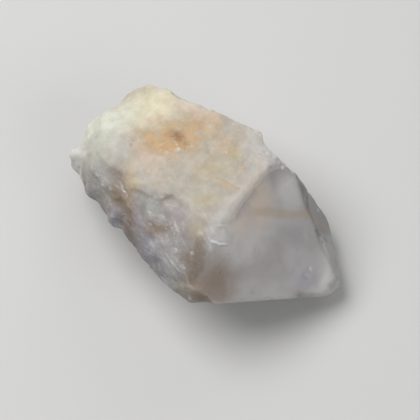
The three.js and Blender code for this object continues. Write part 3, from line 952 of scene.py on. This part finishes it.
# Colours of the stone, from dark to light where two go together
FACET_GREYS = (linear(158, 154, 151), linear(173, 170, 169))
BARE_GREYS = (linear(128, 124, 121), linear(152, 149, 148))
SHADES = (linear(226, 222, 216), linear(255, 255, 255))
CRUST_BEIGE = linear(192, 185, 172)
CREAM = linear(232, 224, 195)
CREAM_WHITE = linear(224, 227, 212)
WHITE = linear(206, 205, 200)
GREEN_WHITE = linear(178, 180, 166)
KNOB_WHITE = linear(216, 217, 211)
IRON = linear(208, 172, 124)
IRON_DARK = linear(160, 120, 82)
IRON_PALE = linear(207, 178, 138)
PINK_CREAM = linear(222, 202, 184)
TAN = linear(202, 186, 156)
OLIVE = linear(196, 184, 138)
GREY = linear(168, 166, 159)
BROWN = linear(132, 111, 88)
BROWN_GREY = linear(122, 103, 85)
LAVENDER = linear(158, 156, 166)
PINK_GREY = linear(170, 156, 158)
RUST = linear(128, 106, 84)
BAND_TAN = linear(166, 148, 126)
VEIL = linear(208, 204, 200)
WARM_VEIL = linear(196, 179, 160)
LEDGE = linear(204, 198, 192)
PLATE_GREY = linear(192, 188, 184)
# a dark grey; on the right facets it is painted shade
DEEP = linear(74, 70, 66)
FROST_AND_GLINT_WHITE = linear(224, 223, 224)
CREASE = linear(128, 116, 98)
# white of the painted glints in the crust
GLINT_PAINT = linear(240, 237, 228)

# Each noise in the material: its size in mm, detail, roughness and distortion, then the values
# where it begins and is whole, and what it gives there where that isn't 0 and 1
WANDER_NOISE, WANDER = (4.0, 5, 0.62), 6.0  # the stains' outlines wander this far
CLOUD_NOISE, CLOUDING = (9.0, 3, 0.45, 0.4), (0.32, 0.68)
STREAK_NOISE, STREAKS = (1.0, 3, 0.6), (0.3, 0.62, 0.35, 1.15)
MILKY_NOISE, MILKY, DUSKY = (1.0, 3, 0.6, 0.6), (0.46, 0.72, 0.0, 0.36), (0.48, 0.28, 0.0, 0.2)
MILKY_PATCH_SIZE, MILKY_PATCHES = 5.0, (0.4, 0.62, 0.15, 1.0)
MOTTLE_NOISE, MOTTLING = (2.6, 4, 0.6), (0.3, 0.7)
SPARSE_SIZE, SPARSE = 4.0, (0.45, 0.62, 0.05, 1.0)
# painted glints scattered over the crust
GLINT_SIZE, GLINT_SPAN = 0.6, (0.62, 0.76, 0.0, 0.4)
GRAIN_NOISE, SUGAR_SIZE = (0.45, 3, 0.6), 0.18

STREAKY = (IRON, IRON_PALE, IRON_DARK)
STREAK_TURN = math.radians(14)  # from the picture's width
STREAK_SIZE = (4.0, 0.9, 1.5)
STAIN_REACH = (1.75, 0.05)  # in radii, from where a stain begins to where it is whole

# Flecks in the crust: where their noise is taken from, its size, roughness and distortion, its
# values where a fleck begins and is whole, strength, colour
FLECKS = [
    ((0, 0, 0), 1.9, 0.6, 0.5, (0.55, 0.7), 0.35, PINK_CREAM),
    ((40, 0, 0), 1.6, 0.6, 0.5, (0.58, 0.72), 0.4, OLIVE),
    ((0, 40, 0), 1.1, 0.65, 0.3, (0.55, 0.7), 0.5, WHITE),
]
# Plates in the crust: their size, and how strongly they are tinted white or pink
PLATE_SIZE = 2.4
WHITE_PLATES = (0.5, 0.8, 0.0, 0.22)
PINK_PLATES = (0.5, 0.25, 0.0, 0.22)
SPARSE_FROM = (0, 0, 80)
PATCHES_FROM = (0, 0, 40)
MILKY_FIBRE = (2.6, 0.8, 0.8)  # length and thickness of a milky fibre

# How pale the painted highlight on a raised edge and how dark the painted shade in a hollow is, then the
# white of the frost and painted glints, and the brown of cracks and of the painted shade in creases
EDGE_HIGHLIGHT = (0.15, 1.0)
HOLLOW_SHADE = (0.1, 1.0, 0.0, 0.3)
WHITENING = (0.0, 1.0, 0.0, 0.85)
CRACK_AND_CREASE_SHADE = (0.0, -1.0, 0.0, 0.9)

# How strongly each mark of the skin is laid on, from below to above, and its colour
PAINTS = [
    # the ledge's pale strip is partly painted light over the bend's shade
    ("ledge", 0.55, LEDGE), ("pit", 0.25, IRON_DARK), ("bevel", 0.8, LEDGE), ("band", 0.6, BAND_TAN),
    # the right facets' dark grey is painted shade on the side turned from the lamps
    ("right", 0.78, DEEP), ("rust", 0.6, RUST), ("veil", 0.4, WHITE),
]

# The surface: quartz bends light by 1.544, and scatters it over a few mm
QUARTZ_IOR = 1.544
SCATTER = 0.6
SCATTER_COLOURS = (1.0, 0.92, 0.84)
SCATTER_DEPTH = 3.0 * MM
GRAIN_DEPTH = 0.12 * MM
GRAIN_STRENGTH = 0.3
GLAZE_ROUGHNESS = 0.08

# Stains and clouds in the stone: place in the crystal's own axes, radii along the picture's
# width and height and through the stone, turn from the picture's width, colour, strength
STAINS = [
    ((-21.4, 5.4, 30), (9.5, 6, 8), 12, CREAM, 0.95),
    ((-26.9, -3.6, 28), (7, 5, 8), 20, CREAM_WHITE, 0.9),
    ((-26.8, -8.5, 26), (3.4, 5.4, 8), 0, CREAM_WHITE, 0.8),
    ((-20.7, -8.1, 30), (4.4, 3, 5), 0, WHITE, 0.6),
    ((-28.7, -14.2, 24), (3.6, 4, 8), 0, KNOB_WHITE, 0.95),
    ((-26.3, -9.8, 28), (2.6, 3.8, 5), 0, GREEN_WHITE, 0.7),
    ((-31.6, -5, 22.4), (2, 5, 6), -35, CREAM_WHITE, 0.95),
    ((-11.7, 10.9, 31), (5.6, 2, 4), -25, PINK_CREAM, 0.7),
    ((-7.7, 7.9, 31), (4.4, 2.8, 4), 15, IRON_PALE, 0.8),
    ((-12.2, -1.6, 31), (5.2, 2.6, 4), 8, IRON_PALE, 0.7),
    ((-11, 2.6, 31), (9, 5.4, 4), 5, IRON_PALE, 0.5),
    ((-9, 7.6, 31), (2.6, 1.6, 4), -15, IRON_PALE, 0.9),
    ((-12.2, -0.7, 31), (4, 2.6, 4), -8, IRON, 0.9),
    ((-16, -0.8, 31), (3.4, 1.4, 4), -14, IRON, 0.45),
    ((-14.4, 3.8, 31), (2.4, 1.3, 4), -10, IRON, 0.65),
    ((-10.2, 3.4, 31), (4.4, 1.8, 4), -20, IRON, 0.6),
    ((-6, 2.6, 31), (1.8, 1.4, 4), 0, IRON, 0.5),
    ((-10.8, 2.6, 30.6), (2.2, 1.2, 3), -22, IRON_DARK, 0.85),
    ((1.6, 0.7, 31), (4.6, 3.4, 4), 0, TAN, 0.6),
    ((0.4, 7.8, 31), (3.4, 3.4, 4), 0, IRON_PALE, 0.5),
    ((3.3, 7.7, 31), (1.2, 1, 2), 0, OLIVE, 0.7),
    ((0.4, 1.4, 31), (1.4, 1, 2), 0, OLIVE, 0.6),
    ((6.9, 6.2, 31), (1, 1.2, 2), 0, IRON, 0.6),
    ((7.2, -0.2, 31), (1.9, 1, 2), -20, IRON_PALE, 0.7),
    ((5.2, -5.8, 31), (3, 1.4, 3), 0, OLIVE, 0.45),
    ((10.2, -8.4, 30.6), (3.4, 3.6, 4), 20, PLATE_GREY, 0.75),
    ((12.8, -10.4, 29.4), (3.8, 3.2, 4), 0, WHITE, 0.7),
    ((4.8, 13.8, 29), (2, 4.6, 5), -10, WHITE, 0.7),
    ((-12.2, -6.1, 31), (4, 3.2, 4), 0, PINK_CREAM, 0.5),
    ((-19.6, -15.8, 26), (4.2, 4.8, 7), 0, GREY, 0.85),
    ((-12.2, -13.6, 29.5), (2, 5, 5), 0, TAN, 0.9),
    ((-12.9, -17.1, 27), (3.2, 4, 6), 15, BROWN, 1.0),
    ((-8, -19, 27), (2.2, 4.8, 5), 0, BROWN, 0.8),
    ((-11, -21.6, 24.4), (2, 2.4, 5), 0, LAVENDER, 0.8),
    ((-0.9, -19.2, 29), (3, 1.8, 3), 0, BROWN, 0.55),
    ((-4.5, -19.3, 28), (1.7, 3.6, 5), 0, PINK_GREY, 0.6),
    ((1.3, -23.3, 26), (2.6, 4.4, 6), -20, LAVENDER, 0.7),
    ((8.5, -25.8, 26), (2.6, 3.8, 6), -20, LAVENDER, 0.6),
    ((6.2, -22.6, 28), (4, 1.8, 4), -45, WHITE, 0.4),
    ((3.5, -25, 23.4), (3.6, 1.8, 4), -45, DEEP, 0.25),
    ((10.4, -15.8, 29.7), (2, 4.2, 5), 10, BROWN, 0.65),
    ((12.1, -20.7, 28.9), (2, 3.6, 5), 10, BROWN, 0.55),
    ((16.4, -22.6, 26.7), (1.6, 0.8, 4), -20, IRON_PALE, 0.6),
    ((0.2, -17.7, 29), (3.4, 2.4, 4), 0, BROWN, 0.5),
    ((-1.3, -12.2, 29.8), (1.8, 0.8, 3), 0, PINK_CREAM, 0.35),
    ((-4.9, -19.3, 29.4), (1.6, 2.8, 5), 20, LAVENDER, 0.5),
    ((-4.7, -14.9, 29.2), (2.2, 2.4, 4), 0, GREEN_WHITE, 0.45),
    ((7.4, -12.6, 29.9), (2.6, 2.6, 4), 0, TAN, 0.45),
    ((3, -14, 29.9), (1.6, 4.6, 5), 0, PINK_GREY, 0.45),
    ((-24.4, -15.6, 27), (2.2, 3.4, 5), 0, GREEN_WHITE, 0.5),
    ((-16.2, -13.6, 30), (3.2, 1.6, 4), -30, BROWN, 0.45),
    ((9.6, -25, 25.3), (1.6, 2, 5), 20, GREY, 0.6),
    ((18.4, -19.6, 24.6), (5.8, 5.6, 6), 0, BROWN_GREY, 0.95),
    ((16.9, -24, 24), (2.8, 2.8, 6), 0, BROWN, 0.7),
    ((13, -25.6, 23), (3, 2, 5), -40, GREY, 0.35),
    ((17.2, 9.4, 26), (5.4, 5.4, 5), 0, VEIL, 0.35),
    ((15.6, 1.8, 27.4), (3, 5.8, 4), 0, WARM_VEIL, 0.75),
    ((11.8, 5.8, 30.2), (1.4, 2.2, 3), -20, TAN, 0.5),
    ((14.8, -5.4, 28), (2.6, 3.4, 3), 0, PINK_CREAM, 0.45),
    ((14.6, -25.2, 24), (3, 1.6, 4), -20, TAN, 0.3),
    # the tip's pale chipped corner: partly the chip's white, partly painted light shining through its thin
    # edges
    ((38.2, 1.8, 9), (3.8, 3.6, 4), 0, WHITE, 0.7),
    ((36.2, -2.8, 9.8), (4, 1.6, 3), 0, WHITE, 0.55),
    ((9.4, 12, 31), (4, 2.4, 3), -30, VEIL, 0.6),
    # pale over the step at the crust's right corner: partly its bruised white, partly painted light over
    # the step's shade
    ((12.2, 12.5, 30.6), (2.4, 1.4, 3), 0, VEIL, 0.8),
    ((24.9, 4.5, 19.9), (3.6, 3, 4), 0, LAVENDER, 0.2),
    ((33.4, -2.7, 13.2), (4, 2.4, 4), 0, LAVENDER, 0.4),
    ((19, -6.6, 24.5), (5, 2.8, 4), 20, VEIL, 0.4),
]


def milky_quartz():
    tree = Tree("milky_quartz")
    place = tree.node("ShaderNodeTexCoord", {}, (), "Object")
    place = tree.vector("SCALE", {"Vector": place, "Scale": 1 / MM})
    place = tree.vector("ADD", [place, tuple(ORIGIN)])
    wander = tree.noise(place, *WANDER_NOISE, output="Color")
    wander = tree.vector("SUBTRACT", [wander, (0.5, 0.5, 0.5)])
    wander = tree.vector("SCALE", {"Vector": wander, "Scale": WANDER})
    warped = tree.vector("ADD", [place, wander])
    mark = {name: tree.attribute(name) for name in MARKS}
    crust, flat, frost = mark["crust"], mark["flat"], mark["frost"]

    # Clear stone with broad soft clouds, and the crust over it
    clouding = tree.noise(place, *CLOUD_NOISE).ramp(*CLOUDING)
    facet_grey = tree.mix(clouding, *FACET_GREYS)
    bare_grey = tree.mix(clouding, *BARE_GREYS)
    colour = tree.mix(mark["pale"], bare_grey, facet_grey)
    colour = tree.mix(crust, colour, CRUST_BEIGE)

    # Mottling of the crust in pink, olive and white
    for start, size, roughness, distortion, span, strength, paint in FLECKS:
        fleck = tree.noise(tree.vector("ADD", [place, start]), size, 4, roughness, distortion)
        colour = tree.mix(fleck.ramp(*span, 0.0, strength) * crust, colour, paint)
    plates = tree.node("ShaderNodeTexVoronoi", {}, {"Vector": place, "Scale": 1 / PLATE_SIZE}, "Color")
    colour = tree.mix(plates.ramp(*WHITE_PLATES) * crust, colour, WHITE)
    colour = tree.mix(plates.ramp(*PINK_PLATES) * crust, colour, PINK_CREAM)

    # The stains, with fine streaks in the iron ones
    streaks = tree.local(warped, (0, 0, 0), STREAK_SIZE, VIEW_TURN + STREAK_TURN)
    streaks = tree.noise(streaks, *STREAK_NOISE).ramp(*STREAKS)
    for centre, radii, turn, stain, strength in STAINS:
        local = tree.local(warped, centre, radii, VIEW_TURN + math.radians(turn))
        amount = tree.vector("LENGTH", [local], "Value").ramp(*STAIN_REACH, 0.0, strength)
        if stain in STREAKY:
            amount = amount * streaks
        colour = tree.mix(amount, colour, stain)

    # Milky fibres along the bare stone
    fibres = tree.noise(tree.local(warped, (0, 0, 0), MILKY_FIBRE, FIBRE_TURN), *MILKY_NOISE)
    patches = tree.vector("ADD", [place, PATCHES_FROM])
    patches = tree.noise(patches, MILKY_PATCH_SIZE).ramp(*MILKY_PATCHES)
    rough_stone = (1 - crust) * (1 - flat) * patches
    colour = tree.mix(fibres.ramp(*MILKY) * rough_stone, colour, FROST_AND_GLINT_WHITE)
    colour = tree.mix(fibres.ramp(*DUSKY) * rough_stone, colour, BROWN)

    # Broad light and dark mottling
    mottle = tree.noise(place, *MOTTLE_NOISE)
    shade = tree.mix(mottle.ramp(*MOTTLING), *SHADES)
    colour = tree.mix(0.6 - 0.5 * flat, colour, shade, "MULTIPLY")

    # Painted glints here and there in the crust, then the marks, the painted highlight on raised edges,
    # the painted shade in hollows, and the frost with its painted glints and painted shade
    sparse = tree.noise(tree.vector("ADD", [place, SPARSE_FROM]), SPARSE_SIZE).ramp(*SPARSE)
    painted_glints = tree.noise(place, GLINT_SIZE).ramp(*GLINT_SPAN) * sparse * crust
    colour = tree.mix(painted_glints, colour, GLINT_PAINT)
    for name, strength, paint in PAINTS:
        colour = tree.mix(mark[name] * strength, colour, paint)
    colour = tree.mix(mark["edge"].ramp(*EDGE_HIGHLIGHT) * (0.12 + 0.28 * flat), colour, WHITE)
    colour = tree.mix(mark["hollow"].ramp(*HOLLOW_SHADE) * (1 - 0.7 * crust), colour, CREASE)
    colour = tree.mix(frost.ramp(*WHITENING), colour, FROST_AND_GLINT_WHITE)
    colour = tree.mix(frost.ramp(*CRACK_AND_CREASE_SHADE), colour, CREASE)

    # Grain, coarser and sugary on the crust and faint on the flat faces, which are glossier
    grain = tree.noise(place, *GRAIN_NOISE)
    sugar = tree.noise(place, SUGAR_SIZE)
    coarse = grain * (0.25 - 0.23 * flat + 0.75 * crust) + sugar * (0.5 * crust)
    sockets = {"Strength": GRAIN_STRENGTH, "Distance": GRAIN_DEPTH, "Height": coarse}
    bump = tree.node("ShaderNodeBump", {}, sockets)
    roughness = 0.58 + 0.04 * crust + 0.1 * mottle - 0.34 * flat
    shader = tree.node("ShaderNodeBsdfPrincipled", {}, {
        "Base Color": colour, "Roughness": roughness, "Normal": bump, "IOR": QUARTZ_IOR,
        "Subsurface Weight": SCATTER, "Subsurface Radius": SCATTER_COLOURS,
        "Subsurface Scale": SCATTER_DEPTH,
        "Coat Weight": 0.3 * flat, "Coat Roughness": GLAZE_ROUGHNESS,
    })
    tree.node("ShaderNodeOutputMaterial", {}, {"Surface": shader})
    return tree.material


crystal = bpy.data.objects.new("crystal_skin", skin.mesh)
skin.mesh.name = "crystal_skin"
skin.mesh.materials.clear()
skin.mesh.materials.append(milky_quartz())
bpy.context.scene.collection.objects.link(crystal)
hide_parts(NODE)
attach(crystal, "root")


# Floor and light

FLOOR_SIZE = 3.0
FLOOR_GAP = 0.02 * MM
FLOOR_PALE = linear(214, 213, 210)
FLOOR_ROUGHNESS = 0.8
# Soft round lights: how far to the right, up and towards the camera they stand as the camera
# sees the stone, their distance and size in metres, and their power
LIGHTS = {
    "key": (-0.42, 0.5, 0.76, 0.7, 0.5, 3.85),
    "fill": (0.7, -0.3, 0.8, 0.9, 0.7, 1.8),
    "back": (0.35, 0.9, 0.15, 0.9, 0.7, 1.0),
}
ROOM_COLOUR = (0.9, 0.93, 1.0, 1)
ROOM_LIGHT = 0.21


def make_floor():
    half = FLOOR_SIZE / 2
    mesh = bpy.data.meshes.new("floor")
    corners = [(-half, -half, 0), (half, -half, 0), (half, half, 0), (-half, half, 0)]
    mesh.from_pydata(corners, [], [(0, 1, 2, 3)])
    floor = bpy.data.objects.new("floor", mesh)
    floor.location.z = -FLOOR_GAP
    tree = Tree("floor_paper")
    sockets = {"Base Color": FLOOR_PALE, "Roughness": FLOOR_ROUGHNESS}
    shader = tree.node("ShaderNodeBsdfPrincipled", {}, sockets)
    tree.node("ShaderNodeOutputMaterial", {}, {"Surface": shader})
    mesh.materials.append(tree.material)
    bpy.context.scene.collection.objects.link(floor)


def make_light(name, right, up, back, distance, size, power):
    direction = (right * VIEW_RIGHT + up * VIEW_UP + back * VIEW_BACK).normalized()
    data = bpy.data.lights.new(name, "AREA")
    data.shape = "DISK"
    data.size = size
    data.energy = power
    light = bpy.data.objects.new(name, data)
    light.location = direction * distance
    light.rotation_euler = direction.to_track_quat("Z", "Y").to_euler()
    bpy.context.scene.collection.objects.link(light)


def make_world():
    world = bpy.data.worlds.new("studio")
    world.use_nodes = True
    background = world.node_tree.nodes["Background"]
    background.inputs["Color"].default_value = ROOM_COLOUR
    background.inputs["Strength"].default_value = ROOM_LIGHT
    bpy.context.scene.world = world
    bpy.context.scene.view_settings.view_transform = "Standard"


make_floor()
for name, light in LIGHTS.items():
    make_light(name, *light)
make_world()
